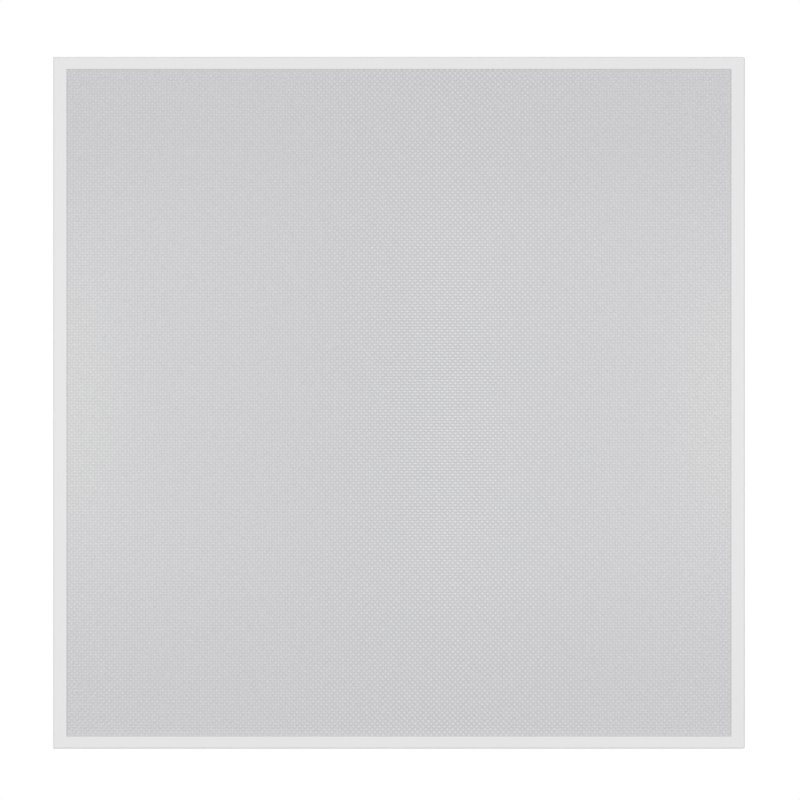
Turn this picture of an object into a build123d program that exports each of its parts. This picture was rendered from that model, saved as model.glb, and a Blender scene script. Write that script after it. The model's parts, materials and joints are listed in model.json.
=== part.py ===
from build123d import *
from math import cos, radians
import os

# Recessed LED panel that lies in a ceiling grid: a folded steel body, a prismatic lens that slides
# out past a screwed-on end rail, six LED boards, swing-out grid clips and a driver on the back.
# Frame: the origin is the middle of the face that rests on the grid, +Z points up into the ceiling
# void and the lens faces -Z.  Lengths are in millimetres, angles in degrees.

# Folded steel body
panel_size = 595.0              # outside, for a ceiling grid of 600 mm
body_depth = 38.0
sheet = 0.7
fold_radius = 1.6               # outside radius of each fold
side_lip = 11.7                 # lip at -X and +X, in front of the lens
end_lip = 10.6                  # lip at -Y and +Y
bead_width = 14.0               # stiffening beads pressed into the back
bead_height = 1.5
bead_end_gap = 97.5             # from the panel's edge to the bead's end
bead_slope = 45.0

# End rail
rail_corner_radius = 2.0        # its two upright outer corners
rail_seam = 0.2                 # gap between body and rail, behind their butted lips
strip_inset = 4.0               # welded strip behind the seam, on the body's side
strip_reach = 9.0               # and under the rail
strip_end_gap = 8.0             # from the strip's end to the side wall
rail_screw_inset = 6.4          # from the panel's edge to the screw
rail_screw_end = 27.5           # from the panel's edge to the outermost screws

# Lens
lens_thickness = 2.0
lens_clearance = 1.5            # all round, to the walls

# LED boards
boards_each_side = 3            # of the driver
board_width = 18.0
board_thickness = 1.0
board_margin = 57.5             # from the panel's edge to the outermost boards' middle
board_screw_gap = 2.5           # from the innermost boards to the driver's screws
board_end_clearance = 1.8       # from the boards' ends to the strip behind the rail's seam
led_count = 14
led_margin = 33.0               # from the board's end to its first LED
led_length = 3.5
led_width = 2.8
led_height = 0.7
rivet_radius = 1.5              # push rivets that hold the boards
rivet_head_radius = 3.0
rivet_head_height = 1.2
rivet_tail_radius = 2.1
rivet_tail_height = 1.8
rivet_clearance = 0.1
rivet_steps = (-6, 0, 6)        # places, counted in LED pitches from the board's middle
head_flat_share = 0.6           # flat middle of a rivet's domed head

# Connectors and leads
connector_depth = 6.0
connector_width = 8.0
pole_offset = 2.0               # each pole, from the connector's middle
pole_floor = 2.4                # connector's thickness past the pole's axis
pole_hole_depth = 5.0
lead_radius = 0.8
lead_clearance = 0.15
lead_insertion = 4.0
inner_turn = 6.0                # how far the two leads of a pair run out before they turn
outer_turn = 9.0
lead_bend = 3.6                 # radius of a lead's tightest bends

# Grommet
grommet_groove_radius = 5.8
grommet_flange_radius = 7.2
grommet_flange_height = 1.0
grommet_clearance = 0.3

# Screws and threaded holes
small_screw_radius = 1.5
small_head_radius = 2.8
small_head_height = 2.0
mount_screw_radius = 2.0
mount_head_radius = 3.6
mount_head_height = 2.6
screw_clearance = 0.2           # radial, in a plain hole
thread_clearance = 0.05         # radial, in a threaded hole
rail_screw_length = 5.0
mount_screw_length = 8.0
clamp_screw_length = 14.0
cover_screw_length = 10.0
cover_head_radius = 2.9
countersink_angle = 90.0

# Threaded inserts for suspension wires
insert_inset = 35.5             # from the panel's edge, both ways
insert_bore_radius = 2.1
insert_body_radius = 3.5
insert_flange_radius = 5.0
insert_flange_height = 0.9
insert_bulge_radius = 4.5
insert_bulge_height = 2.0
insert_depth = 9.0              # below the back

# Swing-out grid clips
clip_end_gap = 97.5             # from the panel's edge to the pivot, along the clip's side
clip_inset = 12.0               # pivot, from the panel's edge
clip_width = 14.0
clip_reach = 26.0               # from the pivot to the tip
clip_thickness = 1.0
clip_tab_height = 6.0           # upturned tip
clip_tip_radius = 2.0
clip_lift = 0.3                 # clear of the back
clip_play = 0.1                 # between the clip and the rivet's shoulder and head
pivot_radius = 2.5
pivot_clearance = 0.05
pivot_head_radius = 4.5
pivot_head_height = 1.5
pivot_tail_radius = 3.75
pivot_tail_height = 1.2

# Driver case
driver_length = 176.0
driver_width = 58.0
driver_height = 30.0
case_wall = 2.0
case_inner_radius = 1.0
room_length = 40.0              # terminal room, from the end face to the cover
cover_thickness = 2.0
cover_clearance = 0.3
cover_rib_thickness = 1.5
cover_rib_depth = 3.0
cover_rib_end_gap = 14.0
groove_count = 5                # moulded grooves along the cover
groove_pitch = 6.0
groove_width = 2.0
groove_depth = 0.6
groove_end_gap = 20.0
cover_edge_radius = 0.8
boss_radius = 3.5               # cover screw bosses
boss_wall_gap = 1.0
lug_radius = 6.0
lug_reach = 5.5                 # from the case's side to the lug's hole
lug_thickness = 3.0
lug_end_gap = 18.0              # from the case's end to the lug's hole

# Hinged lids
barrel_radius = 4.0
barrel_side_gap = 0.4
trunnion_radius = 1.5
trunnion_clearance = 0.05
trunnion_length = 1.8           # past the barrel's end
hinge_clearance = 0.4           # from the barrel to the cover, and from the plate to the ears
lid_lift = 0.2                  # plate, clear of the case's rim
skirt_thickness = 1.2
skirt_depth = 3.0
skirt_clearance = 0.4
finger_tab_width = 16.0
finger_tab_reach = 3.0
tongue_clearance = 0.4          # tongue that closes the cable slot above the cable

# Mains cable inlet
cable_slot_radius = 4.5
cable_height = 11.0             # the slot's axis, above the back
clamp_width = 7.0
clamp_length = 28.0
clamp_bar_height = 7.0
clamp_arch_radius = 4.2
clamp_gap = 0.6                 # between the clamp's bed and its bar
clamp_screw_offset = 9.5
clamp_edge_radius = 1.0

# Driver board and what it carries
pcb_width = 36.0
pcb_thickness = 1.6
pcb_lift = 1.5                  # above the case's floor
post_radius = 3.0
pin_radius = 1.2
pin_clearance = 0.1
pin_tip = 0.8
post_gap = 1.0                  # from the post to the cover's partition
post_side_gap = 5.0             # from the board's side to the post
transformer_length = 24.0
transformer_width = 20.0
transformer_height = 17.0
transformer_x = 4.0
yoke_thickness = 5.0
bobbin_radius = 8.0
capacitor_sizes = ((-27.0, 0.0, 6.0, 17.0), (28.0, 7.0, 4.0, 12.0), (28.0, -7.0, 4.0, 12.0))
capacitor_edge_radius = 0.6
choke_x = -14.5
choke_radius = 6.0
choke_hole_radius = 2.6
choke_height = 7.0
choke_chamfer = 1.2

# Terminals with push buttons
terminal_setback = 18.0         # from the end wall to the terminal's face
terminal_length = 14.0
terminal_width = 16.0
terminal_height = 12.0
terminal_edge_radius = 0.6
terminal_pole_offset = 2.5
wire_hole_radius = 1.2
wire_hole_depth = 6.0
wire_hole_height = 4.5          # above the board
button_length = 5.0
button_width = 3.4
button_height = 8.0
button_setback = 10.2           # from the terminal's face to the button's middle
button_rise = 2.5
button_travel = 1.6
button_clearance = 0.2
button_floor_gap = 0.3          # left under a pressed button
button_edge_radius = 0.4

# Places that follow from the sizes above
half = panel_size / 2
wall_inside = half - sheet
back_inside = body_depth - sheet
rail_x = half - side_lip
board_half = rail_x - strip_inset - board_end_clearance
board_face = back_inside - board_thickness
led_pitch = 2 * (board_half - led_margin) / (led_count - 1)
led_columns = [(column - (led_count - 1) / 2) * led_pitch for column in range(led_count)]
pole_z = back_inside - grommet_flange_height - lead_bend
pole_drop = board_face - pole_z
rail_screw_x = half - rail_screw_inset
insert_x = half - insert_inset
clip_x = half - clip_end_gap
clip_y = half - clip_inset
clip_bottom = body_depth + clip_lift
case_half = driver_length / 2
case_side = driver_width / 2
case_floor = body_depth + case_wall
case_top = body_depth + driver_height
case_rim = case_top - cover_thickness
room_end = case_half - case_wall
room_side = case_side - case_wall
cover_half = case_half - room_length
partition_inside = cover_half - case_wall
boss_x = partition_inside - boss_radius - boss_wall_gap
boss_y = room_side - boss_radius - boss_wall_gap
lug_x = case_half - lug_end_gap
lug_y = case_side + lug_reach
first_row = lug_y + mount_screw_radius + board_screw_gap + board_width / 2
row_step = (half - board_margin - first_row) / (boards_each_side - 1)
upper_rows = [first_row + row * row_step for row in range(boards_each_side)]
board_rows = [-row for row in reversed(upper_rows)] + upper_rows
gap_rows = [first_row + (gap + 0.5) * row_step for gap in range(boards_each_side - 1)]
bead_rows = [side * row for side in (-1, 1) for row in gap_rows]
rail_screw_rows = [side * row for side in (-1, 1) for row in (gap_rows[0], half - rail_screw_end)]
hinge_x = cover_half + hinge_clearance + barrel_radius
hinge_z = case_top - barrel_radius
pcb_bottom = case_floor + pcb_lift
pcb_top = pcb_bottom + pcb_thickness
terminal_face = room_end - terminal_setback
terminal_middle = terminal_face - terminal_length / 2
terminal_top = pcb_top + terminal_height
wire_hole_z = pcb_top + wire_hole_height
button_x = terminal_face - button_setback
post_x = partition_inside - post_gap - post_radius
post_y = pcb_width / 2 - post_side_gap
clamp_x = (terminal_face + room_end) / 2
grommet_x = (terminal_face + room_end) / 2
cable_z = body_depth + cable_height
lead_hole_radius = grommet_flange_radius + grommet_clearance
feed_edge = first_row - board_width / 2


def corners(x, y):
    """The four points (+-x, +-y)."""
    return [(side_x * x, side_y * y) for side_x in (-1, 1) for side_y in (-1, 1)]


def save(part, name):
    """Label one finished piece and write it."""
    part.label = name
    export_step(part, f"parts/{name}.step")


def turned(*outline):
    """A solid of revolution about Z from an outline in X and Z."""
    with BuildPart() as piece:
        with BuildSketch(Plane.XZ):
            with BuildLine():
                Polyline(*outline, close=True)
            make_face()
        revolve(axis=Axis.Z)
    return piece.part


def pan_head_screw(radius, length, head_radius, head_height):
    """A screw whose head seats on z = 0."""
    with BuildPart() as screw:
        with BuildSketch():
            Circle(head_radius)
        extrude(amount=head_height)
        chamfer(screw.faces().sort_by(Axis.Z)[-1].edges(), head_height / 3)
        with BuildSketch():
            Circle(radius)
        extrude(amount=-length)
    return screw.part


def copies(piece, places):
    """The same piece at several places, as one group of separate solids."""
    with BuildPart() as group:
        with Locations(*places):
            add(piece)
    return group.part


def lead(route, bend):
    """A round wire along straight runs that are joined by bends of one radius."""
    with BuildPart() as wire:
        with BuildLine() as path:
            FilletPolyline(*route, radius=bend)
        with BuildSketch(Plane(origin=path.line @ 0, z_dir=path.line % 0)):
            Circle(lead_radius)
        sweep()
    return wire.part


os.makedirs("parts", exist_ok=True)

# The folded box in one piece, before it is parted into body and rail
with BuildPart() as cavity:
    with BuildSketch(Plane.XY.offset(sheet)):
        Rectangle(2 * wall_inside, 2 * wall_inside)
    extrude(amount=body_depth - 2 * sheet)
    cavity_corners = cavity.edges().filter_by(Axis.Z).group_by(Axis.X)[-1]
    fillet(cavity_corners, rail_corner_radius - sheet)
    fillet(cavity.edges().filter_by(Axis.Z, reverse=True), fold_radius - sheet)

with BuildPart() as folded_box:
    with BuildSketch():
        Rectangle(panel_size, panel_size)
    extrude(amount=body_depth)
    box_corners = folded_box.edges().filter_by(Axis.Z).group_by(Axis.X)[-1]
    fillet(box_corners, rail_corner_radius)
    fillet(folded_box.edges().filter_by(Axis.Z, reverse=True), fold_radius)
    add(cavity.part, mode=Mode.SUBTRACT)
    with BuildSketch():
        Rectangle(2 * (half - side_lip), 2 * (half - end_lip))
    extrude(amount=sheet, mode=Mode.SUBTRACT)

# Body
rivet_places = [(step * led_pitch, row) for row in board_rows for step in rivet_steps]
rail_screw_places = [(rail_screw_x, row) for row in rail_screw_rows]
bead_places = [(0, row) for row in bead_rows]
bead_wall_shift = sheet * (1 / cos(radians(bead_slope)) - 1)
with BuildPart() as body_tray:
    add(folded_box.part)
    split(bisect_by=Plane(origin=(rail_x, 0, 0), z_dir=(1, 0, 0)), keep=Keep.BOTTOM)
    with BuildSketch(Plane.XY.offset(sheet)):
        with Locations((rail_x - rail_seam / 2, 0)):
            Rectangle(rail_seam, panel_size)
    extrude(amount=body_depth - sheet, mode=Mode.SUBTRACT)
    with BuildSketch(Plane.XY.offset(back_inside)):
        with Locations((rail_x + (strip_reach - strip_inset) / 2, 0)):
            Rectangle(strip_reach + strip_inset, 2 * (wall_inside - strip_end_gap))
    extrude(amount=-sheet)
    with BuildSketch(Plane.XY.offset(body_depth)):
        with Locations(*bead_places):
            SlotOverall(panel_size - 2 * bead_end_gap, bead_width)
    extrude(amount=bead_height, taper=bead_slope)
    with BuildSketch(Plane.XY.offset(back_inside)):
        with Locations(*bead_places):
            SlotOverall(
                panel_size - 2 * bead_end_gap - 2 * bead_wall_shift,
                bead_width - 2 * bead_wall_shift,
            )
    extrude(amount=bead_height, taper=bead_slope, mode=Mode.SUBTRACT)
    with BuildSketch(Plane.XY.offset(back_inside)):
        with Locations(*rivet_places):
            Circle(rivet_radius + rivet_clearance)
        with Locations(*corners(insert_x, insert_x)):
            Circle(insert_body_radius + screw_clearance)
        with Locations(*corners(clip_x, clip_y)):
            Circle(pivot_radius + pivot_clearance)
        with Locations(*corners(lug_x, lug_y)):
            Circle(mount_screw_radius + thread_clearance)
        with Locations((grommet_x, 0)):
            Circle(grommet_groove_radius + screw_clearance)
    extrude(amount=sheet, mode=Mode.SUBTRACT)
    with BuildSketch(Plane.XY.offset(back_inside)):
        with Locations(*rail_screw_places):
            Circle(small_screw_radius + thread_clearance)
    extrude(amount=-sheet, mode=Mode.SUBTRACT)
save(body_tray.part, "body_tray")

# End rail and its screws
with BuildPart() as end_rail:
    add(folded_box.part)
    split(bisect_by=Plane(origin=(rail_x, 0, 0), z_dir=(1, 0, 0)), keep=Keep.TOP)
    with BuildSketch(Plane.XY.offset(back_inside)):
        with Locations(*rail_screw_places):
            Circle(small_screw_radius + screw_clearance)
    extrude(amount=sheet, mode=Mode.SUBTRACT)
save(end_rail.part, "end_rail")

rail_screw = pan_head_screw(small_screw_radius, rail_screw_length, small_head_radius, small_head_height)
save(copies(rail_screw, [(x, y, body_depth) for x, y in rail_screw_places]), "end_rail_screws")

# Lens, which lies on the lips
with BuildPart() as diffuser:
    with BuildSketch(Plane.XY.offset(sheet)):
        Rectangle(2 * (wall_inside - lens_clearance), 2 * (wall_inside - lens_clearance))
    extrude(amount=lens_thickness)
save(diffuser.part, "diffuser")

# LED boards and their LEDs
for number, row in enumerate(board_rows, start=1):
    with BuildPart() as led_board:
        with BuildSketch(Plane.XY.offset(board_face)):
            with Locations((0, row)):
                Rectangle(2 * board_half, board_width)
            with Locations(*[(step * led_pitch, row) for step in rivet_steps]):
                Circle(rivet_radius + rivet_clearance, mode=Mode.SUBTRACT)
        extrude(amount=board_thickness)
    save(led_board.part, f"led_board_{number}")

    with BuildPart() as led_row:
        with BuildSketch(Plane.XY.offset(board_face)):
            with Locations(*[(column, row) for column in led_columns]):
                Rectangle(led_length, led_width)
        extrude(amount=-led_height)
    save(led_row.part, f"led_row_{number}")

# Push rivets: head on the board, tail spread on the back
board_rivet = turned(
    (0, board_face - rivet_head_height),
    (rivet_head_radius * head_flat_share, board_face - rivet_head_height),
    (rivet_head_radius, board_face - rivet_head_height / 2),
    (rivet_head_radius, board_face),
    (rivet_radius, board_face),
    (rivet_radius, body_depth),
    (rivet_tail_radius, body_depth),
    (rivet_radius, body_depth + rivet_tail_height),
    (0, body_depth + rivet_tail_height),
)
save(copies(board_rivet, rivet_places), "board_rivets")

# Connectors: the face with the two holes looks along +X, the middle of its upper edge is the origin
with BuildPart() as connector:
    with BuildSketch():
        with Locations((-connector_depth / 2, 0)):
            Rectangle(connector_depth, connector_width)
    extrude(amount=-pole_drop - pole_floor)
    with BuildSketch(Plane.YZ):
        with Locations((-pole_offset, -pole_drop), (pole_offset, -pole_drop)):
            Circle(lead_radius + lead_clearance)
    extrude(amount=-pole_hole_depth, mode=Mode.SUBTRACT)

connector_places = [Location((board_half, row, board_face)) for row in board_rows]
connector_places += [Location((-board_half, row, board_face), (0, 0, 180)) for row in board_rows]
connector_places += [Location((grommet_x, feed_edge, board_face), (0, 0, -90))]
save(copies(connector.part, connector_places), "board_connectors")


def jumper_leads(pole, turn):
    """One pole's leads from board to board, at the boards' right and left ends by turns."""
    wires = []
    for number, (row, next_row) in enumerate(zip(board_rows, board_rows[1:])):
        end = 1 if number % 2 == 0 else -1
        start_x = end * (board_half - lead_insertion)
        turn_x = end * (board_half + turn)
        wires.append(lead([
            (start_x, row + pole, pole_z),
            (turn_x, row + pole, pole_z),
            (turn_x, next_row - pole, pole_z),
            (start_x, next_row - pole, pole_z),
        ], lead_bend + turn - inner_turn))
    with BuildPart() as group:
        add(wires)
    return group.part


def output_lead(pole_side):
    """One pole's lead from the driver's output terminal, through the grommet, to the feed connector."""
    drop_x = grommet_x - pole_side * pole_offset
    wire_y = pole_side * terminal_pole_offset
    return lead([
        (terminal_face - lead_insertion, wire_y, wire_hole_z),
        (drop_x, wire_y, wire_hole_z),
        (drop_x, wire_y, pole_z),
        (drop_x, feed_edge + lead_insertion, pole_z),
    ], lead_bend)


save(jumper_leads(pole_offset, inner_turn), "jumper_leads_plus")
save(jumper_leads(-pole_offset, outer_turn), "jumper_leads_minus")
save(output_lead(1), "output_lead_plus")
save(output_lead(-1), "output_lead_minus")

# Grommet: two flanges on the steel's edge, pierced by the two leads
grommet_blank = turned(
    (0, back_inside - grommet_flange_height),
    (grommet_flange_radius, back_inside - grommet_flange_height),
    (grommet_flange_radius, back_inside),
    (grommet_groove_radius, back_inside),
    (grommet_groove_radius, body_depth),
    (grommet_flange_radius, body_depth),
    (grommet_flange_radius, body_depth + grommet_flange_height),
    (0, body_depth + grommet_flange_height),
)
with BuildPart() as lead_grommet:
    with Locations((grommet_x, 0)):
        add(grommet_blank)
    with BuildSketch(Plane.XY.offset(back_inside - grommet_flange_height)):
        for pole_side in (1, -1):
            with Locations((grommet_x - pole_side * pole_offset, pole_side * terminal_pole_offset)):
                Circle(lead_radius + lead_clearance)
    extrude(amount=sheet + 2 * grommet_flange_height, mode=Mode.SUBTRACT)
save(lead_grommet.part, "lead_grommet")

# Threaded inserts
suspension_insert = turned(
    (insert_bore_radius, body_depth - insert_depth),
    (insert_body_radius, body_depth - insert_depth),
    (insert_body_radius, back_inside - insert_bulge_height),
    (insert_bulge_radius, back_inside - insert_bulge_height / 2),
    (insert_bulge_radius, back_inside),
    (insert_body_radius, back_inside),
    (insert_body_radius, body_depth),
    (insert_flange_radius, body_depth),
    (insert_flange_radius, body_depth + insert_flange_height),
    (insert_bore_radius, body_depth + insert_flange_height),
)
save(copies(suspension_insert, corners(insert_x, insert_x)), "suspension_inserts")

# Grid clips, folded in along X, and their shoulder rivets
for number, (x, y) in enumerate(corners(clip_x, clip_y), start=1):
    inward = -1 if x > 0 else 1
    with BuildPart() as grid_clip:
        with BuildSketch(Plane.XY.offset(clip_bottom)):
            with Locations((x, y)):
                Circle(clip_width / 2)
            with Locations((x + inward * clip_reach / 2, y)):
                Rectangle(clip_reach, clip_width)
        extrude(amount=clip_thickness)
        with BuildSketch(Plane.XY.offset(clip_bottom)):
            with Locations((x + inward * (clip_reach - clip_thickness / 2), y)):
                Rectangle(clip_thickness, clip_width)
        extrude(amount=clip_tab_height)
        tab_corners = grid_clip.faces().sort_by(Axis.Z)[-1].edges().filter_by(Axis.X)
        fillet(tab_corners, clip_tip_radius)
        with BuildSketch(Plane.XY.offset(clip_bottom)):
            with Locations((x, y)):
                Circle(pivot_radius + pivot_clearance)
        extrude(amount=clip_thickness, mode=Mode.SUBTRACT)
    save(grid_clip.part, f"grid_clip_{number}")

pivot_head_seat = clip_bottom + clip_thickness + clip_play
clip_rivet = turned(
    (0, back_inside - pivot_tail_height),
    (pivot_tail_radius, back_inside - pivot_tail_height),
    (pivot_tail_radius, back_inside),
    (pivot_radius, back_inside),
    (pivot_radius, body_depth),
    (pivot_head_radius, body_depth),
    (pivot_head_radius, clip_bottom - clip_play),
    (pivot_radius, clip_bottom - clip_play),
    (pivot_radius, pivot_head_seat),
    (pivot_head_radius, pivot_head_seat),
    (pivot_head_radius, pivot_head_seat + pivot_head_height / 2),
    (pivot_head_radius * head_flat_share, pivot_head_seat + pivot_head_height),
    (0, pivot_head_seat + pivot_head_height),
)
save(copies(clip_rivet, corners(clip_x, clip_y)), "clip_rivets")

# Driver base: a tub with lugs, hinge ears, screw bosses, board posts and the cable inlet
with BuildPart() as driver_base:
    with BuildSketch(Plane.XY.offset(body_depth)):
        RectangleRounded(driver_length, driver_width, case_inner_radius + case_wall)
    extrude(amount=case_rim - body_depth)
    with BuildSketch(Plane.XY.offset(case_floor)):
        RectangleRounded(2 * room_end, 2 * room_side, case_inner_radius)
    extrude(amount=case_rim - case_floor, mode=Mode.SUBTRACT)
    with BuildSketch(Plane.XY.offset(body_depth)):
        with Locations(*corners(lug_x, lug_y)):
            Circle(lug_radius)
        with Locations(*corners(lug_x, case_side + lug_reach / 2)):
            Rectangle(2 * lug_radius, lug_reach)
        with Locations(*corners(lug_x, lug_y)):
            Circle(mount_screw_radius + screw_clearance, mode=Mode.SUBTRACT)
    extrude(amount=lug_thickness)
    for side in (-1, 1):
        with BuildSketch(Plane.XZ.offset(-side * case_side)):
            with Locations((-hinge_x, hinge_z), (hinge_x, hinge_z)):
                Circle(barrel_radius)
        extrude(amount=side * case_wall)
        with BuildSketch(Plane.XZ.offset(-side * case_side)):
            with Locations((-hinge_x, hinge_z), (hinge_x, hinge_z)):
                Circle(trunnion_radius + trunnion_clearance)
        extrude(amount=side * case_wall, mode=Mode.SUBTRACT)
    with BuildSketch(Plane.XY.offset(case_floor)):
        with Locations(*corners(boss_x, boss_y)):
            Circle(boss_radius)
    extrude(amount=case_rim - case_floor)
    with BuildSketch(Plane.XY.offset(case_rim)):
        with Locations(*corners(boss_x, boss_y)):
            Circle(small_screw_radius + thread_clearance)
    extrude(amount=-cover_screw_length, mode=Mode.SUBTRACT)
    with BuildSketch(Plane.XY.offset(case_floor)):
        with Locations(*corners(post_x, post_y)):
            Circle(post_radius)
    extrude(amount=pcb_lift)
    with BuildSketch(Plane.XY.offset(pcb_bottom)):
        with Locations(*corners(post_x, post_y)):
            Circle(pin_radius)
    extrude(amount=pcb_thickness + pin_tip)
    with BuildSketch(Plane.YZ.offset(-case_half)):
        with Locations((0, cable_z)):
            Circle(cable_slot_radius)
        with Locations((0, (cable_z + case_rim) / 2)):
            Rectangle(2 * cable_slot_radius, case_rim - cable_z)
    extrude(amount=case_wall, mode=Mode.SUBTRACT)
    with BuildSketch(Plane.XY.offset(case_floor)):
        with Locations((-clamp_x, 0)):
            Rectangle(clamp_width, clamp_length)
    extrude(amount=cable_z - case_floor)
    with BuildSketch(Plane.YZ.offset(-clamp_x - clamp_width / 2)):
        with Locations((0, cable_z)):
            Circle(clamp_arch_radius)
    extrude(amount=clamp_width, mode=Mode.SUBTRACT)
    with BuildSketch(Plane.XY.offset(case_floor)):
        with Locations((-clamp_x, -clamp_screw_offset), (-clamp_x, clamp_screw_offset)):
            Circle(small_screw_radius + thread_clearance)
    extrude(amount=cable_z - case_floor, mode=Mode.SUBTRACT)
    with BuildSketch(Plane.XY.offset(body_depth)):
        with Locations((grommet_x, 0)):
            Circle(lead_hole_radius)
    extrude(amount=case_wall, mode=Mode.SUBTRACT)
save(driver_base.part, "driver_base")

mount_screw = pan_head_screw(
    mount_screw_radius, mount_screw_length, mount_head_radius, mount_head_height
)
lug_top = body_depth + lug_thickness
save(copies(mount_screw, [(x, y, lug_top) for x, y in corners(lug_x, lug_y)]), "driver_mount_screws")

# Driver cover: a grooved plate with two partitions that reach down to the board
partition_bottom = pcb_top + cover_clearance
with BuildPart() as driver_cover:
    with BuildSketch(Plane.XY.offset(case_rim)):
        Rectangle(2 * cover_half, driver_width)
    extrude(amount=cover_thickness)
    fillet(driver_cover.faces().sort_by(Axis.Z)[-1].edges().filter_by(Axis.X), cover_edge_radius)
    with BuildSketch(Plane.XY.offset(case_rim)):
        with Locations((-cover_half + case_wall / 2, 0), (cover_half - case_wall / 2, 0)):
            Rectangle(case_wall, 2 * (room_side - cover_clearance))
    extrude(amount=partition_bottom - case_rim)
    rib_y = room_side - cover_clearance - cover_rib_thickness / 2
    with BuildSketch(Plane.XY.offset(case_rim)):
        with Locations((0, -rib_y), (0, rib_y)):
            Rectangle(2 * (cover_half - cover_rib_end_gap), cover_rib_thickness)
    extrude(amount=-cover_rib_depth)
    with BuildSketch(Plane.XY.offset(case_top)):
        with GridLocations(0, groove_pitch, 1, groove_count):
            SlotOverall(2 * (cover_half - groove_end_gap), groove_width)
    extrude(amount=-groove_depth, mode=Mode.SUBTRACT)
    with Locations(*[(x, y, case_top) for x, y in corners(boss_x, boss_y)]):
        CounterSinkHole(small_screw_radius + screw_clearance, cover_head_radius + screw_clearance,
                        depth=cover_thickness, counter_sink_angle=countersink_angle)
save(driver_cover.part, "driver_cover")

cover_screw = turned(
    (0, -cover_screw_length),
    (small_screw_radius, -cover_screw_length),
    (small_screw_radius, small_screw_radius - cover_head_radius),
    (cover_head_radius, 0),
    (0, 0),
)
save(copies(cover_screw, [(x, y, case_top) for x, y in corners(boss_x, boss_y)]), "driver_cover_screws")

# Hinged lids over the two terminal rooms
lid_bottom = case_rim + lid_lift
plate_start = hinge_x + barrel_radius + hinge_clearance
barrel_half = room_side - barrel_side_gap
skirt_side = room_side - skirt_clearance
skirt_end = room_end - skirt_clearance


def hinged_lid(side, over_cable):
    """The lid at one end of the case; the lid over the cable has a tongue that closes the slot."""
    with BuildPart() as lid:
        with BuildSketch(Plane.XY.offset(lid_bottom)):
            with Locations((side * (plate_start + case_half) / 2, 0)):
                Rectangle(case_half - plate_start, driver_width)
        extrude(amount=case_top - lid_bottom)
        outer_corners = lid.edges().filter_by(Axis.Z).group_by(Axis.X)[-1 if side > 0 else 0]
        fillet(outer_corners, case_inner_radius + case_wall)
        with BuildSketch(Plane.XY.offset(lid_bottom)):
            with Locations((side * (hinge_x + plate_start) / 2, 0)):
                Rectangle(plate_start - hinge_x, 2 * barrel_half)
            with Locations((side * (case_half + finger_tab_reach / 2), 0)):
                Rectangle(finger_tab_reach, finger_tab_width)
        extrude(amount=case_top - lid_bottom)
        with Locations(Location((side * hinge_x, 0, hinge_z), (90, 0, 0))):
            Cylinder(barrel_radius, 2 * barrel_half)
            Cylinder(trunnion_radius, 2 * (barrel_half + trunnion_length))
        with BuildSketch(Plane.XY.offset(lid_bottom)):
            with Locations((side * (plate_start + skirt_end) / 2, 0)):
                Rectangle(skirt_end - plate_start, 2 * skirt_side)
            with Locations((side * (plate_start + skirt_end - skirt_thickness) / 2, 0)):
                Rectangle(
                    skirt_end - skirt_thickness - plate_start,
                    2 * (skirt_side - skirt_thickness),
                    mode=Mode.SUBTRACT,
                )
        extrude(amount=-skirt_depth)
        if over_cable:
            tongue_width = 2 * (cable_slot_radius - tongue_clearance)
            with BuildSketch(Plane.YZ.offset(side * room_end)):
                with Locations((0, (cable_z + lid_bottom) / 2)):
                    Rectangle(tongue_width, lid_bottom - cable_z)
                with Locations((0, cable_z)):
                    Circle(cable_slot_radius, mode=Mode.SUBTRACT)
            extrude(amount=side * case_wall)
    return lid.part


save(hinged_lid(-1, over_cable=True), "mains_lid")
save(hinged_lid(1, over_cable=False), "output_lid")

# Clamp bar over the mains cable's place
clamp_bar_bottom = cable_z + clamp_gap
with BuildPart() as cable_clamp_bar:
    with BuildSketch(Plane.XY.offset(clamp_bar_bottom)):
        with Locations((-clamp_x, 0)):
            Rectangle(clamp_width, clamp_length)
    extrude(amount=clamp_bar_height)
    fillet(cable_clamp_bar.edges().filter_by(Axis.X).group_by(Axis.Z)[-1], clamp_edge_radius)
    with BuildSketch(Plane.YZ.offset(-clamp_x - clamp_width / 2)):
        with Locations((0, clamp_bar_bottom)):
            Circle(clamp_arch_radius)
    extrude(amount=clamp_width, mode=Mode.SUBTRACT)
    with BuildSketch(Plane.XY.offset(clamp_bar_bottom)):
        with Locations((-clamp_x, -clamp_screw_offset), (-clamp_x, clamp_screw_offset)):
            Circle(small_screw_radius + screw_clearance)
    extrude(amount=clamp_bar_height, mode=Mode.SUBTRACT)
save(cable_clamp_bar.part, "cable_clamp_bar")

clamp_screw = pan_head_screw(
    small_screw_radius, clamp_screw_length, small_head_radius, small_head_height
)
clamp_bar_top = clamp_bar_bottom + clamp_bar_height
clamp_screw_places = [(-clamp_x, side * clamp_screw_offset, clamp_bar_top) for side in (-1, 1)]
save(copies(clamp_screw, clamp_screw_places), "cable_clamp_screws")

# Driver board on its four pins
with BuildPart() as driver_board:
    with BuildSketch(Plane.XY.offset(pcb_bottom)):
        Rectangle(2 * terminal_face, pcb_width)
        with Locations(*corners(post_x, post_y)):
            Circle(pin_radius + pin_clearance, mode=Mode.SUBTRACT)
    extrude(amount=pcb_thickness)
save(driver_board.part, "driver_board")

# Transformer: two yokes and legs around a bobbin
with BuildPart() as driver_transformer:
    with BuildSketch(Plane.XY.offset(pcb_top)):
        yoke_x = (transformer_length - yoke_thickness) / 2
        with Locations((transformer_x - yoke_x, 0), (transformer_x + yoke_x, 0)):
            Rectangle(yoke_thickness, transformer_width)
    extrude(amount=transformer_height)
    with Locations(Location((transformer_x, 0, pcb_top + transformer_height / 2), (0, 90, 0))):
        Cylinder(bobbin_radius, transformer_length - 2 * yoke_thickness)
save(driver_transformer.part, "driver_transformer")

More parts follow.
